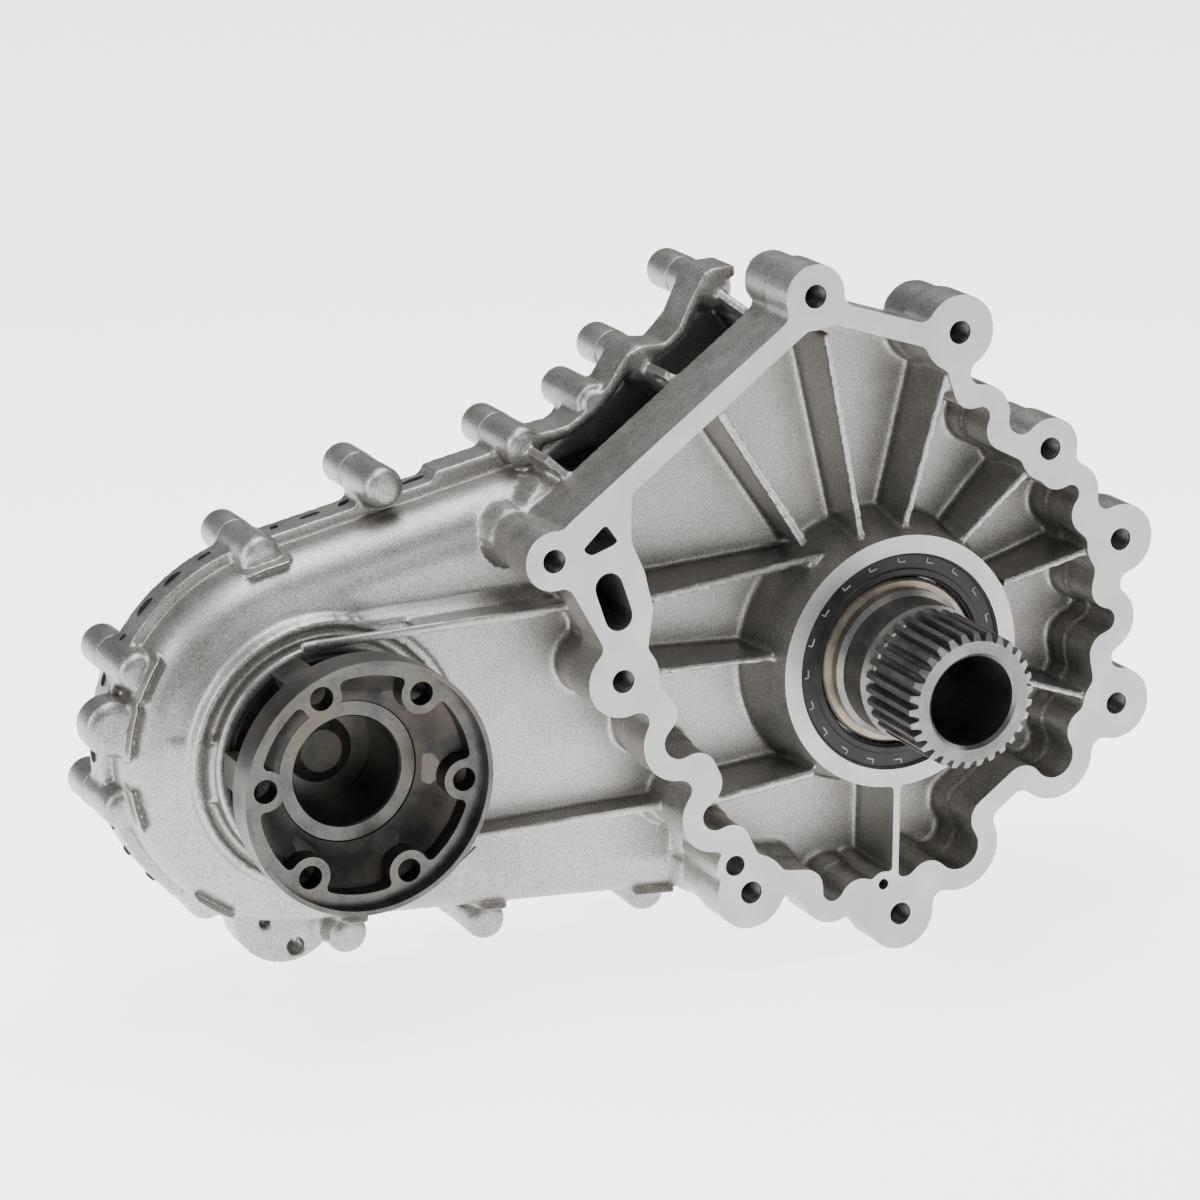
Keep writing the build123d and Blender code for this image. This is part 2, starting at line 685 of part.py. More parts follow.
with BuildPart() as sun_gear:
    add([
        block(toothed_face(gear_outline(sun_teeth), gear_front), gear_front, gear_back),
        rod(sleeve_radius, sleeve_front, gear_front + 0.1),
    ])
    add(rod(tail_radius + running, sleeve_front - 1, gear_back + 1), mode=Mode.SUBTRACT)
finish(sun_gear.part, "sun_gear")
with BuildPart() as ring_gear:
    add([rod(drum_radius, gear_front - 1, drum_back), rod(rear_shaft + 6, drum_back - 1, drum_back + 2)])
    add([
        block(toothed_face(gear_outline(ring_teeth, 180 / ring_teeth, 1.6 * backlash, 1.2, 0.9),
                           gear_front - 2), gear_front - 2, gear_back),
        rod(drum_radius - drum_wall, gear_back - 0.5, drum_back - 5),
        rod(rear_shaft - 4 + seat, drum_back - 6, drum_back + 3),
    ], mode=Mode.SUBTRACT)
finish(ring_gear.part, "ring_gear")

# Rear output shaft, its flange and nut
with BuildPart() as rear_output_shaft:
    add(turn([(0, drum_back - 5), (rear_shaft - 4, drum_back - 5), (rear_shaft - 4, drum_back + 2),
              (rear_shaft, drum_back + 2), (rear_shaft, rear_bearing_back), (rear_shaft - 3, rear_bearing_back + 1),
              (rear_shaft - 3, rear_hub_back), (10, rear_hub_back), (10, rear_shaft_end - 1),
              (9, rear_shaft_end), (0, rear_shaft_end)]))
finish(rear_output_shaft.part, "rear_output_shaft")
rear_arms = [around(main, rear_flange_pcd / 2, 90 + 120 * k) for k in range(3)]
with BuildPart() as rear_hub:
    add(tube(rear_hub_radius, rear_shaft - 3 + seat, rear_bearing_back + 1.5, rear_hub_end))
finish(rear_hub.part, "rear_hub")

with BuildPart() as rear_flange:
    with BuildSketch(station(rear_flange_face - rear_flange_plate)) as arms:
        for x, z in rear_arms:
            with BuildSketch(station(rear_flange_face - rear_flange_plate), mode=Mode.PRIVATE) as arm:
                Circle(30)
                with Locations((x, z)):
                    Circle(rear_flange_lobe)
                make_hull()
            add(arm.sketch)
        offset(amount=9)
        offset(amount=-9)
    add([
        block(arms.sketch, rear_flange_face - rear_flange_plate, rear_flange_face),
        turn([(0, rear_hub_end), (rear_hub_radius + 9, rear_hub_end), (rear_hub_radius + 9, rear_hub_end + 2.6),
              (rear_hub_radius + 2, rear_hub_end + 3.6), (30, rear_flange_face - rear_flange_plate + 1),
              (0, rear_flange_face)]),
    ])
    add([
        rod(rear_shaft - 3 + seat, rear_bearing_back, rear_hub_back),
        rod(10 + seat, rear_hub_back - 1, rear_flange_face + 1),
        rods(rear_arms, rear_flange_hole / 2, rear_flange_face - 30, rear_flange_face + 1),
    ], mode=Mode.SUBTRACT)
finish(rear_flange.part, "rear_flange")
with BuildPart() as rear_nut:
    with BuildSketch(station(rear_flange_face)) as nut:
        RegularPolygon(15, 6, major_radius=False)
    add(block(nut.sketch, rear_flange_face, rear_flange_face + 8))
    add(rod(10 + seat, rear_flange_face - 1, rear_flange_face + 9), mode=Mode.SUBTRACT)
finish(rear_nut.part, "rear_nut")

# Front output flange: rim with lip, six bolt lobes, windows, and the deep hub
lobe_angles = [flange_phase + 360 / flange_holes * k for k in range(flange_holes)]
flange_places = [around(out, flange_pcd / 2, angle) for angle in lobe_angles]
with BuildPart() as output_flange:
    with BuildSketch(station(flange_face)) as window:
        with Locations(out):
            Circle(flange_window)
        with Locations(*flange_places):
            Circle(flange_lobe, mode=Mode.SUBTRACT)
        offset(amount=-2.5)
        offset(amount=2.5)
    add([
        turn([(0, flange_face), (flange_rim - flange_lip, flange_face),
              (flange_rim - flange_lip, flange_lip_front), (flange_rim, flange_lip_front),
              (flange_rim, flange_face + flange_plate), (0, flange_face + flange_plate)], out),
    ])
    add(block(window.sketch, flange_face - 1, flange_face + flange_plate + 1), mode=Mode.SUBTRACT)
    add([
        turn([(0, hub_face), (hub_radius, hub_face), (hub_flare, hub_face + 8), (hub_flare, 29),
              (hub_tube, 30.5), (hub_tube, hub_tube_back), (0, hub_tube_back)], out),
        *[rib(around(out, hub_bore + 1, angle), around(out, flange_window + 2, angle),
              hub_face + 5, flange_face + flange_plate - 2, hub_face + 14, 13) for angle in lobe_angles],
    ])
    add([
        turn([(0, hub_face - 1), (hub_bore + 1.5, hub_face - 1), (hub_bore, hub_face + 1),
              (hub_bore, hub_bore_end), (0, hub_bore_end)], out),
        rod(output_stub + seat, hub_bore_end - 1, hub_tube_back + 1, out),
        rods(flange_places, flange_hole / 2, flange_face - 1, hub_face + 15),
    ], mode=Mode.SUBTRACT)
finish(output_flange.part, "output_flange")

with BuildPart() as output_shaft:
    add(turn([(0, hub_bore_end - 1), (output_stub, hub_bore_end - 1), (output_stub, hub_tube_back),
              (output_body, hub_tube_back), (output_body, chain_back), (tail_shaft, chain_back + 1),
              (tail_shaft, tail_back), (0, tail_back)], out))
finish(output_shaft.part, "output_shaft")
with BuildPart() as output_nut:
    add(turn([(0, hub_bore_end - 5), (9, hub_bore_end - 5), (11, hub_bore_end - 4), (14, hub_bore_end - 2.5),
              (14, hub_bore_end), (output_stub + seat, hub_bore_end), (output_stub + seat, hub_bore_end - 1 - seat),
              (0, hub_bore_end - 1 - seat)], out))
finish(output_nut.part, "output_nut")

# Chain sprockets
for name, at, bore in (("drive_sprocket", main, sleeve_radius), ("driven_sprocket", out, output_body)):
    teeth = straight_teeth(sprocket_teeth, pitch_radius - 5.1, pitch_radius - 1.4, 2.2, 0.7, chain_angle + 90 + tooth_step / 2)
    with BuildPart() as sprocket:
        add(block(toothed_face(teeth, chain_front, at), chain_front, chain_back))
        add([
            tube(pitch_radius - 10, bore + 7, chain_front - 1, chain_front + 6, at),
            tube(pitch_radius - 10, bore + 7, chain_back - 6, chain_back + 1, at),
            rod(bore + seat, chain_front - 1, chain_back + 1, at),
        ], mode=Mode.SUBTRACT)
    finish(sprocket.part, name)

# Chain: one plate for each link, in two rows that lap at the pins
link_profile = [
    (-7.2, 1.2), (-7.2, -1.4), (-6.0, -4.0), (-2.7, -4.0), (0, 0.9), (2.7, -4.0),
    (6.0, -4.0), (7.2, -1.4), (7.2, 1.2), (5.4, 3.3), (-5.4, 3.3),
]
straight_links = (chain_links - sprocket_teeth) // 2
wrap_links = sprocket_teeth // 2
chord = pitch_radius * cos(pi / sprocket_teeth)


def on_wrap(at, angle):
    place = (at[0] + chord * cos(radians(angle)), at[1] + chord * sin(radians(angle)), 0)
    return Location(place, (0, 0, angle - 90))


def on_strand(side, along):
    # side is the strand's angle from the main axis; along is the way from it towards the output
    x = pitch_radius * cos(radians(side)) + along * cos(radians(chain_angle))
    z = pitch_radius * sin(radians(side)) + along * sin(radians(chain_angle))
    return Location((x, z, 0), (0, 0, side - 90))


link_places = [on_wrap(main, chain_angle + 90 + tooth_step * (k + 0.5)) for k in range(wrap_links)]
link_places += [on_strand(chain_angle - 90, (k + 0.5) * chain_pitch) for k in range(straight_links)]
link_places += [on_wrap(out, chain_angle - 90 + tooth_step * (k + 0.5)) for k in range(wrap_links)]
link_places += [on_strand(chain_angle + 90, centre_distance - (k + 0.5) * chain_pitch) for k in range(straight_links)]
with BuildPart() as drive_chain:
    for row in range(2):
        row_front = chain_front + row * chain_width / 2
        with BuildSketch(station(row_front)) as plates:
            with Locations(*link_places[row::2]):
                Polygon(*link_profile, align=None)
        add(block(plates.sketch, row_front, row_front + chain_width / 2))
finish(drive_chain.part, "drive_chain")
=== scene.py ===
import bmesh
import bpy
import math
import numpy
from mathutils import Matrix, Vector
from mathutils.bvhtree import BVHTree


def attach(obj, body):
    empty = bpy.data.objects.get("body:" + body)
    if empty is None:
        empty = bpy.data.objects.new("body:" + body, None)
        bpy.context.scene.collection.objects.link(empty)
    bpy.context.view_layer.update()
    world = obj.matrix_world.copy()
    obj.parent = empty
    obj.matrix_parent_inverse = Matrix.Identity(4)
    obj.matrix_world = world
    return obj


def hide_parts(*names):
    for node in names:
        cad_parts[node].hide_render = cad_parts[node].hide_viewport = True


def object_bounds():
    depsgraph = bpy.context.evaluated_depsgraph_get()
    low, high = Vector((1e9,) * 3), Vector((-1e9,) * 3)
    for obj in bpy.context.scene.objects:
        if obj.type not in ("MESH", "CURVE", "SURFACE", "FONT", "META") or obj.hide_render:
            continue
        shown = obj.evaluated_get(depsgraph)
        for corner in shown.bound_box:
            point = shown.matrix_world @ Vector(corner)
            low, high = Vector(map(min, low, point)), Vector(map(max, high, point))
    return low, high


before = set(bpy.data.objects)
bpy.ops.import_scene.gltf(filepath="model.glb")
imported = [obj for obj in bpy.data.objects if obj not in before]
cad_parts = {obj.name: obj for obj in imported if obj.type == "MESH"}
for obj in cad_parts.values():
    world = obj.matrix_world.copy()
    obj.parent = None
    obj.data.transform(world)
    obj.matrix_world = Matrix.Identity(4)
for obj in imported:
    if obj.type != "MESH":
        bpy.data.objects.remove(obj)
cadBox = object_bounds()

# Transfer case. Metres; X right, Y rearward, Z up, the main axis through the origin.
# Every cast part starts from its CAD solid, which is remeshed so that its corners round like a casting's,
# and its machined faces are then cut flat again.

cameraSettings = {
    "place": (-0.86298, -1.52954, 0.54770),
    "right": (0.90434, -0.42681, 0.0),
    "up": (0.12155, 0.25754, 0.95859),
    "lens": 130.0,
    "sensor": 36.0,
    "clipEnd": 50.0,
}


def makeCamera():
    s = cameraSettings
    right = Vector(s["right"]).normalized()
    up = Vector(s["up"]).normalized()
    back = right.cross(up)
    data = bpy.data.cameras.new("camera")
    data.lens = s["lens"]
    data.sensor_width = s["sensor"]
    data.sensor_height = s["sensor"]
    data.clip_end = s["clipEnd"]
    camera = bpy.data.objects.new("camera", data)
    bpy.context.collection.objects.link(camera)
    turn = Matrix((right, up, back)).transposed().to_4x4()
    camera.matrix_world = Matrix.Translation(s["place"]) @ turn
    bpy.context.scene.camera = camera


lightSettings = {
    "world": (0.92, 0.93, 0.95),
    "worldStrength": 0.22,
    # name: place, size, watts
    "lamps": {
        "overhead": ((-0.2, 0.15, 1.3), (1.5, 0.7), 30),
        "left": ((-1.6, 0.1, 0.55), (0.5, 1.2), 20),
        "front": ((0.15, -1.9, 1.15), (0.9, 0.6), 11),
        "rightEdge": ((1.3, -0.35, 0.35), (0.35, 1.2), 12),
    },
    "target": (-0.1, 0.05, 0.0),
}


def makeLights():
    s = lightSettings
    world = bpy.data.worlds.new("studio")
    world.use_nodes = True
    background = world.node_tree.nodes["Background"]
    background.inputs["Color"].default_value = (*s["world"], 1)
    background.inputs["Strength"].default_value = s["worldStrength"]
    bpy.context.scene.world = world
    for name, (place, size, watts) in s["lamps"].items():
        data = bpy.data.lights.new(name, "AREA")
        data.shape = "RECTANGLE"
        data.size, data.size_y = size
        data.energy = watts
        lamp = bpy.data.objects.new(name, data)
        bpy.context.collection.objects.link(lamp)
        lamp.location = place
        aim = Vector(s["target"]) - Vector(place)
        lamp.rotation_euler = aim.to_track_quat("-Z", "Y").to_euler()


floorSettings = {"half": 9.0, "drop": 0.0002, "color": (0.90, 0.90, 0.90), "roughness": 0.8, "glow": 2.9}


def makeFloor():
    s = floorSettings
    half = s["half"]
    low = cadBox[0][2] - s["drop"]
    corners = [(-half, -half, low), (half, -half, low), (half, half, low), (-half, half, low)]
    mesh = bpy.data.meshes.new("floor")
    mesh.from_pydata(corners, [], [(0, 1, 2, 3)])
    floor = bpy.data.objects.new("floor", mesh)
    bpy.context.collection.objects.link(floor)
    material = bpy.data.materials.new("paper")
    material.use_nodes = True
    shader = material.node_tree.nodes["Principled BSDF"]
    shader.inputs["Base Color"].default_value = (*s["color"], 1)
    shader.inputs["Roughness"].default_value = s["roughness"]
    shader.inputs["Emission Color"].default_value = (1, 1, 1, 1)
    shader.inputs["Emission Strength"].default_value = s["glow"]
    mesh.materials.append(material)


def newMaterial(name, metallic, specular=0.5):
    material = bpy.data.materials.new(name)
    material.use_nodes = True
    tree = material.node_tree
    shader = tree.nodes["Principled BSDF"]
    shader.inputs["Metallic"].default_value = metallic
    shader.inputs["Specular IOR Level"].default_value = specular
    coords = tree.nodes.new("ShaderNodeTexCoord")
    return material, tree, shader, coords.outputs["Object"]


def noise(tree, vector, scale, detail=2.0, roughness=0.5):
    node = tree.nodes.new("ShaderNodeTexNoise")
    node.inputs["Scale"].default_value = scale
    node.inputs["Detail"].default_value = detail
    node.inputs["Roughness"].default_value = roughness
    tree.links.new(vector, node.inputs["Vector"])
    return node.outputs["Fac"]


def ramp(tree, fac, stops):
    node = tree.nodes.new("ShaderNodeValToRGB")
    while len(node.color_ramp.elements) < len(stops):
        node.color_ramp.elements.new(0.5)
    for element, (place, color) in zip(node.color_ramp.elements, stops):
        element.position = place
        element.color = (*color, 1)
    tree.links.new(fac, node.inputs["Fac"])
    return node.outputs["Color"]


def mix(tree, fac, a, b, blend="MIX"):
    node = tree.nodes.new("ShaderNodeMix")
    node.data_type = "RGBA"
    node.blend_type = blend
    if isinstance(fac, float):
        node.inputs["Factor"].default_value = fac
    else:
        tree.links.new(fac, node.inputs["Factor"])
    for value, socket in ((a, node.inputs["A"]), (b, node.inputs["B"])):
        if isinstance(value, tuple):
            socket.default_value = (*value, 1)
        else:
            tree.links.new(value, socket)
    return node.outputs["Result"]


def maths(tree, operation, a, b):
    node = tree.nodes.new("ShaderNodeMath")
    node.operation = operation
    for value, socket in ((a, node.inputs[0]), (b, node.inputs[1])):
        if isinstance(value, (int, float)):
            socket.default_value = value
        else:
            tree.links.new(value, socket)
    return node.outputs["Value"]


def bump(tree, height, distance, strength, shader):
    node = tree.nodes.new("ShaderNodeBump")
    node.inputs["Distance"].default_value = distance
    node.inputs["Strength"].default_value = strength
    tree.links.new(height, node.inputs["Height"])
    tree.links.new(node.outputs["Normal"], shader.inputs["Normal"])


castSettings = {
    "metallic": 0.92, "rough": (0.36, 0.50), "bump": 0.00014,
    "dark": (0.20, 0.192, 0.182), "mid": (0.275, 0.265, 0.252), "light": (0.35, 0.34, 0.325),
    "speckDark": (0.70, 0.69, 0.68), "speckLight": (1.35, 1.34, 1.32),
    "grain": 1300.0, "mottle": 95.0, "blotch": 9.0,
}


def castAluminium():
    # shot-blasted die casting: fine sparkle over soft, faint blotches
    s = castSettings
    material, tree, shader, where = newMaterial("castAluminium", s["metallic"])
    grain = noise(tree, where, s["grain"], 1.0)
    mottle = noise(tree, where, s["mottle"], 5.0, 0.6)
    blotch = noise(tree, where, s["blotch"], 2.0, 0.5)
    tone = maths(tree, "ADD", maths(tree, "MULTIPLY", mottle, 0.35), maths(tree, "MULTIPLY", blotch, 0.65))
    color = ramp(tree, tone, [(0.32, s["dark"]), (0.5, s["mid"]), (0.70, s["light"])])
    speck = ramp(tree, grain, [(0.30, s["speckDark"]), (0.50, (1, 1, 1)), (0.72, s["speckLight"])])
    color = mix(tree, 1.0, color, speck, "MULTIPLY")
    tree.links.new(color, shader.inputs["Base Color"])
    rough = maths(tree, "ADD", s["rough"][0], maths(tree, "MULTIPLY", mottle, s["rough"][1] - s["rough"][0]))
    tree.links.new(rough, shader.inputs["Roughness"])
    height = maths(tree, "ADD", maths(tree, "MULTIPLY", grain, 0.8), maths(tree, "MULTIPLY", mottle, 0.5))
    bump(tree, height, s["bump"], 0.5, shader)
    return material


machinedSettings = {
    "metallic": 0.9, "low": (0.27, 0.27, 0.275), "high": (0.345, 0.345, 0.35), "patch": 45.0,
    # cutter arcs: rings about this place, and how many per metre
    "center": (0.35, 0.0, 0.22), "rings": 1400.0 / 6, "wobble": 0.4, "rough": (0.33, 0.12), "bump": 0.00003,
}


def machinedAluminium():
    # face-milled flange: pale, with fine overlapping cutter arcs
    s = machinedSettings
    material, tree, shader, where = newMaterial("machinedAluminium", s["metallic"])
    wave = tree.nodes.new("ShaderNodeTexWave")
    wave.wave_type = "RINGS"
    wave.rings_direction = "Y"
    wave.inputs["Scale"].default_value = s["rings"]
    wave.inputs["Distortion"].default_value = s["wobble"]
    shift = tree.nodes.new("ShaderNodeMapping")
    shift.inputs["Location"].default_value = s["center"]
    tree.links.new(where, shift.inputs["Vector"])
    tree.links.new(shift.outputs["Vector"], wave.inputs["Vector"])
    patch = noise(tree, where, s["patch"], 3.0)
    color = ramp(tree, patch, [(0.3, s["low"]), (0.7, s["high"])])
    tree.links.new(color, shader.inputs["Base Color"])
    rough = maths(tree, "ADD", s["rough"][0], maths(tree, "MULTIPLY", patch, s["rough"][1]))
    tree.links.new(rough, shader.inputs["Roughness"])
    bump(tree, wave.outputs["Fac"], s["bump"], 0.25, shader)
    return material


def turnedMetal(name, dark, light, rough, rings, metallic=0.95, relief=0.00004, wear=None):
    # turned about an axis along Y: fine rings, patches of wear or oxide
    material, tree, shader, where = newMaterial(name, metallic)
    wave = tree.nodes.new("ShaderNodeTexWave")
    wave.wave_type = "BANDS"
    wave.bands_direction = "Y"
    wave.inputs["Scale"].default_value = rings
    wave.inputs["Distortion"].default_value = 0.2
    tree.links.new(where, wave.inputs["Vector"])
    patch = noise(tree, where, 70.0, 5.0, 0.65)
    fine = noise(tree, where, 900.0, 2.0)
    color = ramp(tree, patch, [(0.32, dark), (0.68, light)])
    speck = ramp(tree, fine, [(0.3, (0.85, 0.85, 0.85)), (0.7, (1.1, 1.1, 1.1))])
    color = mix(tree, 1.0, color, speck, "MULTIPLY")
    if wear:
        worn = ramp(tree, noise(tree, where, 35.0, 6.0, 0.7), [(0.5, (0, 0, 0)), (0.62, (1, 1, 1))])
        color = mix(tree, worn, color, wear)
    tree.links.new(color, shader.inputs["Base Color"])
    uneven = maths(tree, "MULTIPLY", patch, 0.2)
    tree.links.new(maths(tree, "ADD", rough - 0.08, uneven), shader.inputs["Roughness"])
    ringPart = maths(tree, "MULTIPLY", wave.outputs["Fac"], 0.5)
    height = maths(tree, "ADD", ringPart, maths(tree, "MULTIPLY", fine, 0.5))
    bump(tree, height, relief, 0.5, shader)
    return material


def moulded(name, color, rough, grain=0.00005):
    # matt rubber with a little dust
    material, tree, shader, where = newMaterial(name, 0.0, 0.22)
    patch = noise(tree, where, 120.0, 3.0)
    dust = tuple(c * 1.6 + 0.006 for c in color)
    tree.links.new(ramp(tree, patch, [(0.35, color), (0.75, dust)]), shader.inputs["Base Color"])
    uneven = maths(tree, "MULTIPLY", patch, 0.14)
    tree.links.new(maths(tree, "ADD", rough - 0.06, uneven), shader.inputs["Roughness"])
    bump(tree, noise(tree, where, 1500.0, 2.0), grain, 0.4, shader)
    return material


turnedFinishes = {
    # name: dark and light colour, roughness, rings, and where they differ metallic, relief, colour of wear
    "splineSteel": ((0.10, 0.095, 0.09), (0.20, 0.19, 0.18), 0.36, 300.0),
    "shaftSteel": ((0.36, 0.34, 0.32), (0.52, 0.50, 0.47), 0.30, 400.0),
    "bearingSteel": ((0.45, 0.44, 0.43), (0.58, 0.57, 0.56), 0.22, 500.0),
    "oxideSteel": ((0.15, 0.132, 0.105), (0.31, 0.275, 0.22), 0.42, 300.0, 0.8),
    "gearSteel": ((0.30, 0.29, 0.28), (0.44, 0.43, 0.42), 0.32, 400.0),
    "chainSteel": ((0.12, 0.11, 0.10), (0.26, 0.24, 0.22), 0.35, 300.0),
    "zincSteel": ((0.50, 0.49, 0.45), (0.64, 0.63, 0.58), 0.34, 300.0),
    "flangeIron": ((0.045, 0.043, 0.041), (0.095, 0.091, 0.086), 0.34, 350.0, 0.92, 0.00006,
                   (0.075, 0.066, 0.055)),
    "forgedIron": ((0.02, 0.019, 0.018), (0.055, 0.051, 0.046), 0.5, 40.0, 0.85, 0.0002,
                   (0.05, 0.042, 0.034)),
    # near-black lug threads: painted shade for the dark inside of the lug holes, not the threads' own colour
    "threadPaintedShade": ((0.05, 0.05, 0.05), (0.11, 0.11, 0.11), 0.4, 300.0),
}
rubberFinishes = {"sealRubber": ((0.007, 0.007, 0.0075), 0.38), "nibRubber": ((0.16, 0.16, 0.155), 0.5)}

print("stage: materials")
cast = castAluminium()
machined = machinedAluminium()
metals = {name: turnedMetal(name, *values) for name, values in turnedFinishes.items()}
rubbers = {name: moulded(name, *values) for name, values in rubberFinishes.items()}

nodeFinish = [
    (cast, ["front_case", "rear_case"]),
    (metals["zincSteel"], ["case_bolts", "dowel_pins", "fill_plug", "drain_plug", "breather", "rear_nut"]),
    (metals["bearingSteel"], [
        "input_bearing_outer_ring", "input_bearing_inner_ring", "output_bearing_outer_ring",
        "output_bearing_inner_ring", "tail_bearing_outer_ring", "tail_bearing_inner_ring",
        "rear_bearing_outer_ring", "rear_bearing_inner_ring", "bearing_circlip"]),
    (metals["splineSteel"], ["input_shaft"]),
    (metals["shaftSteel"], ["rear_output_shaft", "shaft_spacer"]),
    (metals["forgedIron"], ["output_shaft", "output_nut"]),
    (metals["oxideSteel"], ["dust_deflector"]),
    (metals["gearSteel"], [
        "sun_gear", "planet_gear_1", "planet_gear_2", "planet_gear_3", "ring_gear", "planet_carrier",
        "planet_pins", "drive_sprocket", "driven_sprocket"]),
    (metals["chainSteel"], ["drive_chain"]),
    (metals["flangeIron"], ["output_flange", "rear_flange", "rear_hub"]),
    (rubbers["sealRubber"], ["input_seal", "output_seal", "rear_seal"]),
]


def finishNodes():
    for material, names in nodeFinish:
        for name in names:
            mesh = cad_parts[name].data
            mesh.materials.clear()
            mesh.materials.append(material)


def copyMesh(node):
    # the CAD mesh as one closed shell
    work = bmesh.new()
    work.from_mesh(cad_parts[node].data)
    bmesh.ops.remove_doubles(work, verts=work.verts, dist=1e-6)
    return work


def toObject(work, name):
    mesh = bpy.data.meshes.new(name)
    work.to_mesh(mesh)
    work.free()
    piece = bpy.data.objects.new(name, mesh)
    bpy.context.collection.objects.link(piece)
    return piece


def applyModifiers(piece):
    graph = bpy.context.evaluated_depsgraph_get()
    mesh = bpy.data.meshes.new_from_object(piece.evaluated_get(graph))
    piece.modifiers.clear()
    old = piece.data
    piece.data = mesh
    bpy.data.meshes.remove(old)


def dropObject(piece):
    mesh = piece.data
    bpy.data.objects.remove(piece)
    bpy.data.meshes.remove(mesh)


def shade(piece, degrees):
    # smooth, with edges sharper than this angle left sharp
    piece.data.shade_smooth()
    piece.data.set_sharp_from_angle(angle=math.radians(degrees))


machinedSlot = 1  # the second material of a cast skin


def cutFlat(piece, depth, keepBehind):
    # cuts the skin at a machined plane across Y and fills the cut
    work = bmesh.new()
    work.from_mesh(piece.data)
    away = -1 if keepBehind else 1
    geometry = work.verts[:] + work.edges[:] + work.faces[:]
    cut = bmesh.ops.bisect_plane(work, geom=geometry, dist=1e-6, plane_co=(0, depth, 0),
                                 plane_no=(0, away, 0), clear_outer=True)
    rim = [e for e in cut["geom_cut"] if isinstance(e, bmesh.types.BMEdge)]
    filled = bmesh.ops.triangle_fill(work, edges=rim, use_beauty=True, use_dissolve=False,
                                     normal=(0, away, 0))
    for face in filled["geom"]:
        if isinstance(face, bmesh.types.BMFace):
            face.material_index = machinedSlot
            face.normal_update()
            if face.normal.y * away < 0:
                face.normal_flip()
    work.to_mesh(piece.data)
    work.free()


caseForm = {
    # millimetres (x, z): the output axis, the case's outline radii about both axes, the front and the
    # fillet of the solid's shoulder and of the cast one, the joint flange's front, the land beside the
    # output nose, and the radii between which the nose's ridge runs out
    "out": (-247.031, -17.491), "mainRadius": 113.5, "outRadius": 80.0, "endBoss": (-330.0, -2.0),
    "shoulder": (37.0, 15.0), "body": (44.0, 22.0), "flange": 73.0,
    "land": [(-262, 36.5), (-130, 38.5), (-60, 0), (-90, -60), (-198, -61.5), (-232, -40)],
    "ridge": (57.0, 67.0),
    "bolts": [(-59.0, 154.5), (-92.3, 125.4), (-146.4, 95.4), (-209.8, 85.1), (-264.5, 62.5),
              (-318.3, 19.8), (-326.0, -37.0), (-291.0, -82.0), (-229.0, -107.0), (-165.6, -111.0),
              (-90.0, -110.0), (30.0, -114.6), (95.9, -69.9), (118.5, 4.0), (97.9, 67.0), (38.0, 112.4)],
    "dowels": [(-113.0, 110.0), (112.0, -36.0)],
    "lugs": [(-43.6, 162.2), (24.8, 140.5), (70.3, 85.4), (106.9, 41.1), (107.7, -33.2), (2.1, -113.9),
             (-70.3, -92.8), (-130.4, 8.9), (-161.5, 64.0)],
}


def metres(x, y, z):
    return (x / 1000, y / 1000, z / 1000)


def addPrism(work, outline, front, back):
    # a closed prism across Y, its outline in millimetres
    near, far = [[work.verts.new(metres(x, y, z)) for x, z in outline] for y in (front, back)]
    faces = [work.faces.new(near), work.faces.new(far[::-1])]
    for k in range(len(outline)):
        n = (k + 1) % len(outline)
        faces.append(work.faces.new((near[k], far[k], far[n], near[n])))
    bmesh.ops.recalc_face_normals(work, faces=faces)


def addWeb(work, start, end, startFront, endFront, back, thick):
    # a closed web between two places, its front edge sloping from one to the other
    run = Vector((end[0] - start[0], end[1] - start[1])).normalized()
    side = Vector((-run.y, run.x)) * (thick / 2)
    corners = []
    for place, front in ((start, startFront), (end, endFront)):
        for way in (1, -1):
            x, z = place[0] + side.x * way, place[1] + side.y * way
            corners.append([work.verts.new(metres(x, y, z)) for y in (front, back)])
    (a, b), (c, d), (e, f), (g, h) = corners
    faces = [work.faces.new(loop) for loop in
             ((a, b, d, c), (e, g, h, f), (a, e, f, b), (c, d, h, g), (a, c, g, e), (b, f, h, d))]
    bmesh.ops.recalc_face_normals(work, faces=faces)


def addTurned(work, profile, at, steps=48, closed=False):
    # a profile of (radius, y) in millimetres turned about an axis along Y; radius 0 closes an end
    rings = []
    for radius, y in profile:
        if radius == 0:
            rings.append([work.verts.new(metres(at[0], y, at[1]))])
            continue
        angles = [2 * math.pi * k / steps for k in range(steps)]
        rings.append([work.verts.new(metres(at[0] + radius * math.cos(a), y, at[1] + radius * math.sin(a)))
                      for a in angles])
    faces = []
    pairs = list(zip(rings, rings[1:])) + ([(rings[-1], rings[0])] if closed else [])
    for near, far in pairs:
        for k in range(steps):
            n = (k + 1) % steps
            if len(near) == 1:
                faces.append(work.faces.new((near[0], far[k], far[n])))
            elif len(far) == 1:
                faces.append(work.faces.new((near[k], far[0], near[n])))
            else:
                faces.append(work.faces.new((near[k], far[k], far[n], near[n])))
    bmesh.ops.recalc_face_normals(work, faces=faces)


def carve(piece, cutter):
    # takes the cutter's volume out of the piece
    modifier = piece.modifiers.new("carve", "BOOLEAN")
    modifier.operation = "DIFFERENCE"
    modifier.solver = "EXACT"
    modifier.object = cutter
    applyModifiers(piece)
    dropObject(cutter)


wallFrame = {"along": (0.7686, 0.6402), "out": (-0.6402, 0.7686)}


def onWall(along, outward):
    # a place from its distances along and out from the bell's straight wall
    d, n = wallFrame["along"], wallFrame["out"]
    return (d[0] * along + n[0] * outward, d[1] * along + n[1] * outward)


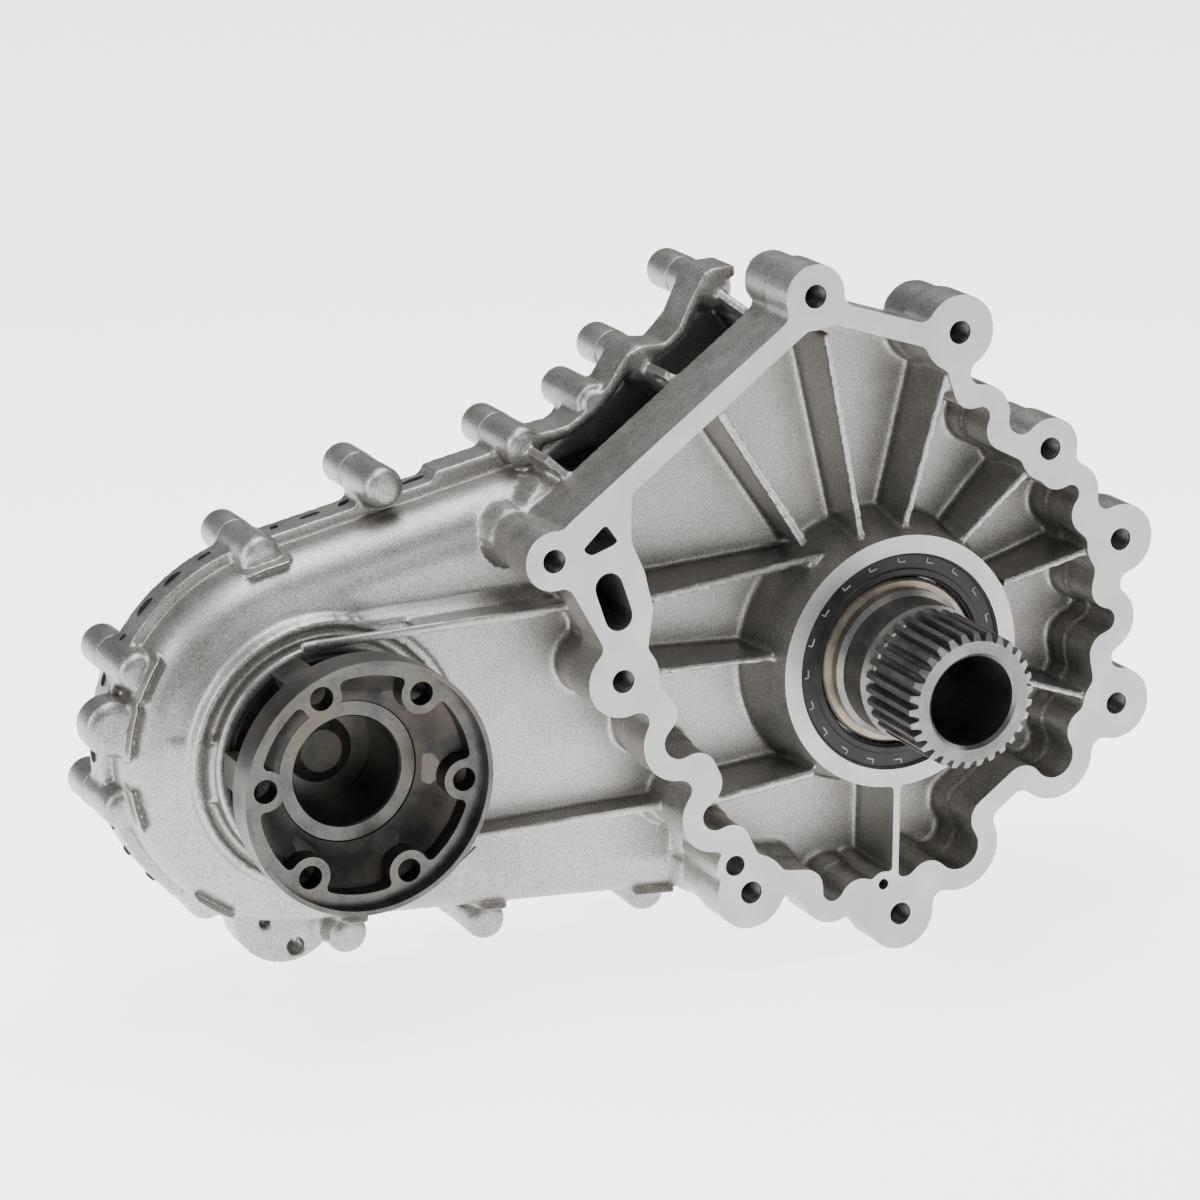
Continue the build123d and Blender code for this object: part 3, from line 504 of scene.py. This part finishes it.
frontSettings = {
    "voxel": 0.00105, "rounds": (3, 4), "keep": 0.34, "allowance": 0.004,
    "planes": [(0.0, True), (0.082, False)],
    # groove round the output nose (inner and outer radius, floor), and the clearing before its ridge
    "groove": (49.5, 54.6, 39.2), "grooveFront": 28, "clearing": 64, "ridgeFront": 35.6,
    "domeRadius": 8.8, "domeFront": 59.0, "domeRound": 5.0, "domeBack": 74,
    "endBoss": [(0, 58), (9, 58), (12, 61), (12, 74), (0, 74)],
    # pockets behind the straight wall: start and end along it, inner and outer limit, front, back
    "pockets": [(-47.0, 6.5, 119.0, 158.0, 39.0, 71.5), (12.0, 50.0, 119.0, 158.0, 39.0, 71.5)],
    # the horn's raised lip
    "lip": [(-152, 98), (-140, 98.5), (-127, 100.5), (-115, 108), (-106, 118), (-99, 129), (-91, 131.5),
            (-82, 131), (-74, 138), (-68, 151), (-62, 161), (-50, 162)],
    "lipThick": 5.0, "lipFront": 59.5, "lipBack": 80,
    # webs from the domes to the wall: place along it and the dome's distance; start, end and front of the
    # low part; start and both fronts of the high part
    "webs": [(9.3, 155.5), (-51.4, 167.0), (53.6, 156.5)], "webLow": (112, 149, 36), "webHigh": (146, 35, 60),
    "webThick": 4, "webBack": 76,
    "block": [(-313, -30), (-289, -31), (-287, -4), (-312, -5)], "blockDepth": (36, 50),
    "holeRadius": 5.1, "holeDepth": 24.0, "holeStart": -8, "holeTip": 2.5,
}


def frontCutters():
    # the groove, the bell's lug holes and the pockets behind its wall
    s = frontSettings
    work = bmesh.new()
    inner, outer, floor = s["groove"]
    front, ridge, clearing = s["grooveFront"], s["ridgeFront"], s["clearing"]
    addTurned(work, [(inner, front), (clearing, front), (clearing, ridge), (outer, ridge), (outer, floor),
                     (inner, floor)], caseForm["out"], 72, True)
    radius, depth = s["holeRadius"], s["holeDepth"]
    for place in caseForm["lugs"]:
        addTurned(work, [(0, s["holeStart"]), (radius, s["holeStart"]), (radius, depth),
                         (0, depth + s["holeTip"])], place, 40)
    for start, end, near, far, front, back in s["pockets"]:
        corners = [onWall(start, near), onWall(end, near), onWall(end, far), onWall(start, far)]
        addPrism(work, corners, front, back)
    return toObject(work, "cutters")


def frontAdditions(work):
    # rounded bolt bosses, the horn's lip and webs, and two small bosses
    s, form = frontSettings, caseForm
    nose = [(0, s["domeFront"])]
    for k in range(5):
        angle = math.radians(22.5 * k)
        nose.append((s["domeRadius"] - s["domeRound"] + s["domeRound"] * math.sin(angle),
                     s["domeFront"] + s["domeRound"] * (1 - math.cos(angle))))
    for place in form["bolts"]:
        addTurned(work, nose + [(s["domeRadius"], s["domeBack"]), (0, s["domeBack"])], place, 32)
    addTurned(work, s["endBoss"], form["endBoss"], 40)
    for start, end in zip(s["lip"], s["lip"][1:]):
        addWeb(work, start, end, s["lipFront"], s["lipFront"], s["lipBack"], s["lipThick"])
    start, end, front = s["webLow"]
    startHigh, frontWall, frontDome = s["webHigh"]
    for along, dome in s["webs"]:
        addWeb(work, onWall(along, start), onWall(along, end), front, front, s["webBack"], s["webThick"])
        addWeb(work, onWall(along, startHigh), onWall(along, dome), frontWall, frontDome, s["webBack"],
               s["webThick"])
    addPrism(work, s["block"], *s["blockDepth"])


def outlineInset(x, z):
    # how far a place lies inside the hull of the case's two circles
    form = caseForm
    axis = numpy.array(form["out"])
    length = numpy.hypot(*axis)
    axis = axis / length
    along = x * axis[0] + z * axis[1]
    across = numpy.abs(-x * axis[1] + z * axis[0])
    b = (form["mainRadius"] - form["outRadius"]) / length
    a = math.sqrt(1 - b * b)
    k = -b * across + a * along
    near = numpy.hypot(across, along) - form["mainRadius"]
    far = numpy.hypot(across, along - length) - form["outRadius"]
    middle = a * across + b * along - form["mainRadius"]
    return -numpy.where(k < 0, near, numpy.where(k > a * length, far, middle))


def outsidePolygon(x, z, corners):
    # distance outside a convex or nearly convex polygon, 0 within
    inside = numpy.zeros(len(x), bool)
    best = numpy.full(len(x), 1e9)
    for (x0, z0), (x1, z1) in zip(corners, corners[1:] + corners[:1]):
        dx, dz = x1 - x0, z1 - z0
        t = numpy.clip(((x - x0) * dx + (z - z0) * dz) / (dx * dx + dz * dz), 0, 1)
        best = numpy.minimum(best, numpy.hypot(x - x0 - t * dx, z - z0 - t * dz))
        crosses = ((z0 > z) != (z1 > z)) & (x < x0 + (z - z0) * dx / (dz if dz else 1e-9))
        inside ^= crosses
    return numpy.where(inside, 0, best)


def roundedShoulder(depth, front, radius):
    # depth of a filleted front at a distance inside the outline
    reach = numpy.clip(radius - depth, 0, radius)
    return front + radius - numpy.sqrt(numpy.maximum(radius * radius - reach * reach, 0))


shoulderSettings = {
    # millimetres: how far the land and the domes fade out, how near a dome keeps its place, what is moved
    "landFade": 4.5, "fadeFrom": 0.3, "fadeOver": 3, "domeReach": 12, "endReach": 15, "reachFade": 2.5,
    "front": 35.8, "outside": -2.5, "least": 0.01, "seenFront": 35.5, "rayStart": -20.0,
}


def stepShoulder(piece, tree):
    # sinks the case round the land and the nose, and gives it its large rounded shoulder
    s, form = shoulderSettings, caseForm
    mesh = piece.data
    co = numpy.empty(len(mesh.vertices) * 3)
    mesh.vertices.foreach_get("co", co)
    co = co.reshape(-1, 3) * 1000
    x, y, z = co[:, 0], co[:, 1], co[:, 2]
    inset = outlineInset(x, z)
    old = roundedShoulder(inset, *form["shoulder"])
    new = roundedShoulder(inset, *form["body"])
    radius = numpy.hypot(x - form["out"][0], z - form["out"][1])
    ridgeStart, ridgeEnd = form["ridge"]
    ridge = 1 - numpy.clip((radius - ridgeStart) / (ridgeEnd - ridgeStart), 0, 1)
    ridge = 1 - numpy.sqrt(1 - ridge * ridge)
    land = 1 - numpy.clip(outsidePolygon(x, z, form["land"]) / s["landFade"], 0, 1)
    free = 1 - numpy.maximum(ridge, land * land * (3 - 2 * land))
    share = numpy.clip((form["flange"] - y) / numpy.maximum(form["flange"] - old, 1), 0, 1)
    move = (new - old) * free * share
    # the domes that stand outside the outline keep their place
    fade = numpy.clip((inset + s["fadeFrom"]) / s["fadeOver"], 0, 1)
    reaches = [(place, s["domeReach"]) for place in form["bolts"] + form["dowels"]]
    for (px, pz), reach in reaches + [(form["endBoss"], s["endReach"])]:
        beside = numpy.clip((reach - numpy.hypot(x - px, z - pz)) / s["reachFade"], 0, 1)
        move = move * (1 - beside * (1 - fade))
    wanted = (y > s["front"]) & (y < form["flange"]) & (inset > s["outside"]) & (move > s["least"])
    for k in numpy.nonzero(wanted)[0]:
        hit = tree.ray_cast(Vector(metres(co[k, 0], s["rayStart"], co[k, 2])), Vector((0, 1, 0)))
        if hit[0] is None or hit[0].y > s["seenFront"] / 1000:
            co[k, 1] += move[k]
    mesh.vertices.foreach_set("co", (co / 1000).ravel())
    mesh.update()


def addSmooth(piece, rounds):
    smooth = piece.modifiers.new("round", "SMOOTH")
    smooth.factor = 0.5
    smooth.iterations = rounds


def voxelSkin(piece, voxel, rounds, keep, reshape=None):
    # remeshes a piece so that its corners round like a casting's; rounds before and after it is reshaped
    remesh = piece.modifiers.new("remesh", "REMESH")
    remesh.mode = "VOXEL"
    remesh.voxel_size = voxel
    if rounds[0]:
        addSmooth(piece, rounds[0])
    applyModifiers(piece)
    if reshape:
        reshape(piece)
    addSmooth(piece, rounds[1])
    thin = piece.modifiers.new("thin", "DECIMATE")
    thin.ratio = keep
    applyModifiers(piece)


def finishSkin(piece, node, planes):
    piece.data.materials.clear()
    piece.data.materials.append(cast)
    piece.data.materials.append(machined)
    for depth, behind in planes:
        cutFlat(piece, depth, behind)
    shade(piece, 38)
    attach(piece, "case")
    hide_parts(node)
    print("  ", node, "faces", len(piece.data.polygons))


def moveFaces(work, planes, allowance):
    # machined faces stand proud until they are cut flat again
    for depth, behind in planes:
        for vertex in work.verts:
            if abs(vertex.co.y - depth) < 1e-5:
                vertex.co.y += -allowance if behind else allowance


def frontSkin():
    s = frontSettings
    work = copyMesh("front_case")
    tree = BVHTree.FromBMesh(work)
    moveFaces(work, s["planes"], s["allowance"])
    piece = toObject(work, "front_case_skin")
    carve(piece, frontCutters())
    work = bmesh.new()
    work.from_mesh(piece.data)
    frontAdditions(work)
    work.to_mesh(piece.data)
    work.free()
    voxelSkin(piece, s["voxel"], s["rounds"], s["keep"], lambda skin: stepShoulder(skin, tree))
    finishSkin(piece, "front_case", s["planes"])
    return piece


rearSettings = {"voxel": 0.0013, "rounds": (0, 6), "keep": 0.3, "allowance": 0.004, "planes": [(0.082, True)]}


def rearSkin():
    s = rearSettings
    work = copyMesh("rear_case")
    moveFaces(work, s["planes"], s["allowance"])
    piece = toObject(work, "rear_case_skin")
    voxelSkin(piece, s["voxel"], s["rounds"], s["keep"])
    finishSkin(piece, "rear_case", s["planes"])


socketKinds = {"Count": "NodeSocketInt", "Seed": "NodeSocketInt", "Material": "NodeSocketMaterial",
               "Piece": "NodeSocketObject"}


def newTree(name, labels):
    # a Geometry Nodes tree with named inputs, lengths in metres
    tree = bpy.data.node_groups.new(name, "GeometryNodeTree")
    tree.interface.new_socket("Geometry", in_out="INPUT", socket_type="NodeSocketGeometry")
    for label in labels:
        kind = socketKinds.get(label, "NodeSocketFloat")
        tree.interface.new_socket(label, in_out="INPUT", socket_type=kind)
    tree.interface.new_socket("Geometry", in_out="OUTPUT", socket_type="NodeSocketGeometry")
    return tree, tree.nodes.new("NodeGroupInput").outputs


def addNode(tree, kind, values, output=0):
    # a node with its inputs linked or set
    node = tree.nodes.new(kind)
    for label, value in values.items():
        if isinstance(value, bpy.types.NodeSocket):
            tree.links.new(value, node.inputs[label])
        else:
            node.inputs[label].default_value = value
    return node.outputs[output]


def endTree(tree, given, instances):
    # realized instances with their material
    whole = addNode(tree, "GeometryNodeRealizeInstances", {"Geometry": instances})
    done = addNode(tree, "GeometryNodeSetMaterial", {"Geometry": whole, "Material": given["Material"]})
    tree.links.new(done, tree.nodes.new("NodeGroupOutput").inputs["Geometry"])


def grow(name, tree, places, values, edges=()):
    # runs a tree on a few places (millimetres) and keeps the result as a plain mesh
    mesh = bpy.data.meshes.new(name)
    mesh.from_pydata([metres(*place) for place in places], edges, [])
    piece = bpy.data.objects.new(name, mesh)
    bpy.context.collection.objects.link(piece)
    modifier = piece.modifiers.new(name, "NODES")
    modifier.node_group = tree
    for item in tree.interface.items_tree:
        if item.item_type == "SOCKET" and item.in_out == "INPUT" and item.name in values:
            modifier[item.identifier] = values[item.name]
    applyModifiers(piece)
    return piece


threadSettings = {
    # millimetres: the ridges against the hole's radius, the first one, their pitch and form
    "crest": -0.75, "root": 0.05, "start": 1.3, "pitch": 1.4, "rise": 0.6, "top": 0.8, "end": 3,
}


def threads():
    # the threads in the bell's lugs, as grooves: one sleeve, repeated in every lug; coloured near black as
    # painted shade for the dark inside of the lug holes
    s = threadSettings
    radius, depth = frontSettings["holeRadius"], frontSettings["holeDepth"]
    crest, root = radius + s["crest"], radius + s["root"]
    profile = [(root + 1.2, -0.012), (root, 1.1)]
    y = s["start"]
    while y < depth - s["end"]:
        profile += [(crest, y + s["rise"]), (crest, y + s["top"]), (root - 0.1, y + s["pitch"])]
        y += s["pitch"]
    profile += [(root + 0.5, depth - 1), (root + 0.5, 1.5), (root + 1.4, 0.4)]
    work = bmesh.new()
    addTurned(work, profile, (0, 0), 36, True)
    sleeve = toObject(work, "sleeve")
    tree, given = newTree("threadsInLugs", ["Piece", "Material"])
    one = addNode(tree, "GeometryNodeObjectInfo", {"Object": given["Piece"]}, "Geometry")
    copies = addNode(tree, "GeometryNodeInstanceOnPoints", {"Points": given["Geometry"], "Instance": one})
    endTree(tree, given, copies)
    piece = grow("lug_threads", tree, [(x, 0, z) for x, z in caseForm["lugs"]],
                 # the threads' near-black finish is painted shade inside the holes
                 {"Piece": sleeve, "Material": metals["threadPaintedShade"]})
    dropObject(sleeve)
    shade(piece, 25)
    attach(piece, "case")


sealSettings = {
    "ring": [(37.4, 1.6), (38.2, 0.7), (40.4, 0.7), (41.0, 1.5), (46.4, 1.5), (47.0, 0.9), (48.1, 0.9),
             (48.1, 2.6), (37.4, 2.6)],
    "nibs": 20, "nibRadius": 43.8, "nibLong": 3.4, "nibShort": 1.8, "nibThick": 0.55,
    "nibHeight": 0.5, "nibFront": 1.45,
}


def inputSeal():
    # the seal's rubber face, with its row of small L-shaped nibs
    s = sealSettings
    work = bmesh.new()
    addTurned(work, s["ring"], (0, 0), 96, True)
    plain = toObject(work, "seal_face")
    plain.data.materials.append(rubbers["sealRubber"])
    shade(plain, 35)
    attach(plain, "case")
    tree, given = newTree("sealNibs", ["Count", "Radius", "Long", "Short", "Thick", "Height", "Front",
                                       "Material"])
    half = [maths(tree, "MULTIPLY", given[label], 0.5) for label in ("Short", "Long")]
    bars = []
    for size, place in ((("Thick", "Long"), (0.0, 0.0)), (("Short", "Thick"), half)):
        span = addNode(tree, "ShaderNodeCombineXYZ",
                       {"X": given[size[0]], "Y": given[size[1]], "Z": given["Height"]})
        bar = addNode(tree, "GeometryNodeMeshCube", {"Size": span})
        shift = addNode(tree, "ShaderNodeCombineXYZ", {"X": place[0], "Y": place[1]})
        bars.append(addNode(tree, "GeometryNodeTransform", {"Geometry": bar, "Translation": shift}))
    nib = tree.nodes.new("GeometryNodeJoinGeometry")
    for bar in bars:
        tree.links.new(bar, nib.inputs["Geometry"])
    circle = addNode(tree, "GeometryNodeMeshCircle", {"Vertices": given["Count"], "Radius": given["Radius"]})
    spot = addNode(tree, "GeometryNodeInputPosition", {})
    outward = tree.nodes.new("FunctionNodeAlignRotationToVector")
    outward.axis = "X"
    tree.links.new(spot, outward.inputs["Vector"])
    copies = addNode(tree, "GeometryNodeInstanceOnPoints", {
        "Points": circle, "Instance": nib.outputs["Geometry"], "Rotation": outward.outputs["Rotation"]})
    front = addNode(tree, "ShaderNodeCombineXYZ", {"Y": given["Front"]})
    whole = addNode(tree, "GeometryNodeTransform",
                    {"Geometry": copies, "Translation": front, "Rotation": (math.pi / 2, 0, 0)})
    endTree(tree, given, whole)
    piece = grow("seal_nibs", tree, [(0, 0, 0)], {
        "Count": s["nibs"], "Radius": s["nibRadius"] / 1000, "Long": s["nibLong"] / 1000,
        "Short": s["nibShort"] / 1000, "Thick": s["nibThick"] / 1000, "Height": s["nibHeight"] / 1000,
        "Front": s["nibFront"] / 1000, "Material": rubbers["nibRubber"]})
    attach(piece, "case")


dishSettings = {"rim": 47.5, "rimFront": 3.4, "hub": 30.0, "hubFront": 14.5, "thick": 3.5, "steps": 6}


def flangeDish():
    # the forged dish behind the flange's six lobes
    s = dishSettings
    work = bmesh.new()
    front, back = [], []
    for k in range(s["steps"] + 1):
        t = k / s["steps"]
        radius = s["rim"] + t * (s["hub"] - s["rim"])
        depth = s["rimFront"] + (s["hubFront"] - s["rimFront"]) * (t * t * (3 - 2 * t))
        front.append((radius, depth))
        back.append((radius, depth + s["thick"]))
    addTurned(work, front + back[::-1], caseForm["out"], 72, True)
    piece = toObject(work, "flange_dish")
    piece.data.materials.append(metals["forgedIron"])
    shade(piece, 35)
    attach(piece, "front_output")


collarSettings = {"outer": 8.8, "inner": 7.7, "front": 90.2, "back": 108.8, "round": 0.5}


def boltCollars():
    # the rear bosses reach round the bolt heads, with rounded mouths
    s = collarSettings
    tree, given = newTree("boltCollars", ["Middle", "Wall", "Length", "Round", "Material"])
    ring = addNode(tree, "GeometryNodeCurvePrimitiveCircle",
                   {"Resolution": 40, "Radius": given["Middle"]}, "Curve")
    section = addNode(tree, "GeometryNodeCurvePrimitiveQuadrilateral",
                      {"Width": given["Wall"], "Height": given["Length"]}, "Curve")
    fillet = tree.nodes.new("GeometryNodeFilletCurve")
    fillet.mode = "POLY"
    tree.links.new(section, fillet.inputs["Curve"])
    tree.links.new(given["Round"], fillet.inputs["Radius"])
    fillet.inputs["Count"].default_value = 3
    collar = addNode(tree, "GeometryNodeCurveToMesh",
                     {"Curve": ring, "Profile Curve": fillet.outputs["Curve"]})
    lying = addNode(tree, "GeometryNodeTransform", {"Geometry": collar, "Rotation": (math.pi / 2, 0, 0)})
    copies = addNode(tree, "GeometryNodeInstanceOnPoints", {"Points": given["Geometry"], "Instance": lying})
    endTree(tree, given, copies)
    middle = (s["front"] + s["back"]) / 2
    piece = grow("bolt_collars", tree, [(x, middle, z) for x, z in caseForm["bolts"]], {
        "Middle": (s["outer"] + s["inner"]) / 2000, "Wall": (s["outer"] - s["inner"]) / 1000,
        "Length": (s["back"] - s["front"]) / 1000, "Round": s["round"] / 1000, "Material": cast})
    shade(piece, 50)
    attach(piece, "case")


sealantSettings = {
    "seed": 7, "spots": 34, "depth": 82.15, "length": (4.0, 15.0), "reach": (2.0, 4.0), "thick": 1.8,
    # its path: distance outside the outline, steps, share of the upper straight and of the arc, where it
    # starts on the upper straight and ends on the lower one
    "rim": 4.5, "steps": 240, "straight": 0.30, "arc": 0.45, "start": 0.42, "end": 0.6,
}


def outlineAt(share):
    # a place on the seam's outline, from the horn round the output end
    s, form = sealantSettings, caseForm
    mainRadius, outRadius = form["mainRadius"] + s["rim"], form["outRadius"] + s["rim"]
    axis = Vector(form["out"])
    tilt = math.acos((mainRadius - outRadius) / axis.length)
    base = math.atan2(axis.y, axis.x)
    top, bottom = base - tilt, base + tilt
    straight, arc = s["straight"], s["arc"]
    if share < straight:
        normal = Vector((math.cos(top), math.sin(top)))
        t = s["start"] + (1 - s["start"]) * share / straight
        return (normal * mainRadius).lerp(axis + normal * outRadius, t)
    if share < straight + arc:
        angle = top + (bottom - top) * (share - straight) / arc
        return axis + Vector((math.cos(angle), math.sin(angle))) * outRadius
    normal = Vector((math.cos(bottom), math.sin(bottom)))
    t = (share - straight - arc) / (1 - straight - arc) * s["end"]
    return (axis + normal * outRadius).lerp(normal * mainRadius, t)


def sealantDashes():
    # black sealant that was pressed out of the seam in places
    s = sealantSettings
    tree, given = newTree("seamSealant", ["Count", "Seed", "Shortest", "Longest", "Lowest", "Highest",
                                          "Thick", "Material"])
    path = addNode(tree, "GeometryNodeMeshToCurve", {"Mesh": given["Geometry"]})
    spots = addNode(tree, "GeometryNodeResampleCurve", {"Curve": path, "Count": given["Count"]})
    bead = addNode(tree, "GeometryNodeMeshCube", {"Size": (1, 1, 1)})
    bead = addNode(tree, "GeometryNodeSubdivisionSurface", {"Mesh": bead, "Level": 2})
    tangent = addNode(tree, "GeometryNodeInputTangent", {})
    along = tree.nodes.new("FunctionNodeAlignRotationToVector")
    along.axis = "X"
    tree.links.new(tangent, along.inputs["Vector"])
    draws = []
    for k, (low, high) in enumerate((("Shortest", "Longest"), ("Lowest", "Highest"))):
        chance = tree.nodes.new("FunctionNodeRandomValue")
        chance.data_type = "FLOAT"
        sockets = [i for i in chance.inputs if i.enabled and i.name in ("Min", "Max")]
        tree.links.new(given[low], sockets[0])
        tree.links.new(given[high], sockets[1])
        tree.links.new(maths(tree, "ADD", given["Seed"], k), chance.inputs["Seed"])
        draws.append([o for o in chance.outputs if o.enabled][0])
    size = addNode(tree, "ShaderNodeCombineXYZ", {"X": draws[0], "Y": given["Thick"], "Z": draws[1]})
    copies = addNode(tree, "GeometryNodeInstanceOnPoints", {
        "Points": spots, "Instance": bead, "Rotation": along.outputs["Rotation"], "Scale": size})
    endTree(tree, given, copies)
    places = [outlineAt(k / s["steps"]) for k in range(s["steps"])]
    lengths, reaches = s["length"], s["reach"]
    piece = grow("seam_sealant", tree, [(place.x, s["depth"], place.y) for place in places], {
        "Count": s["spots"], "Seed": s["seed"], "Shortest": lengths[0] / 1000, "Longest": lengths[1] / 1000,
        "Lowest": reaches[0] / 1000, "Highest": reaches[1] / 1000, "Thick": s["thick"] / 1000,
        "Material": rubbers["sealRubber"]}, [(k, k + 1) for k in range(s["steps"] - 1)])
    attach(piece, "case")


markSettings = {
    "place": (-183.2, -72.6), "radius": 5.7, "slot": 1.0, "turn": 38.0, "height": 0.9, "sunk": 3, "steps": 12,
}


def castMark(skin):
    # the round slotted plug cast beside the lower rib
    s = markSettings
    x, z = s["place"]
    work = bmesh.new()
    work.from_mesh(skin.data)
    hit = BVHTree.FromBMesh(work).ray_cast(Vector(metres(x, -20.0, z)), Vector((0, 1, 0)))
    face = hit[0].y * 1000
    work.free()
    work = bmesh.new()
    slope = math.radians(s["turn"])
    start = math.asin(s["slot"] / s["radius"])
    for side in (1, -1):
        outline = []
        for k in range(s["steps"] + 1):
            angle = start + (math.pi - 2 * start) * k / s["steps"]
            a, b = s["radius"] * math.cos(angle), side * s["radius"] * math.sin(angle)
            outline.append((x + a * math.cos(slope) - b * math.sin(slope),
                            z + a * math.sin(slope) + b * math.cos(slope)))
        addPrism(work, outline, face - s["height"], face + s["sunk"])
    piece = toObject(work, "cast_mark")
    piece.data.materials.append(cast)
    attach(piece, "case")


print("stage: camera, lights and floor")
makeCamera()
makeLights()
makeFloor()
finishNodes()

print("stage: cast skins")
front = frontSkin()
rearSkin()

print("stage: small pieces")
threads()
inputSeal()
flangeDish()
castMark(front)
boltCollars()
sealantDashes()
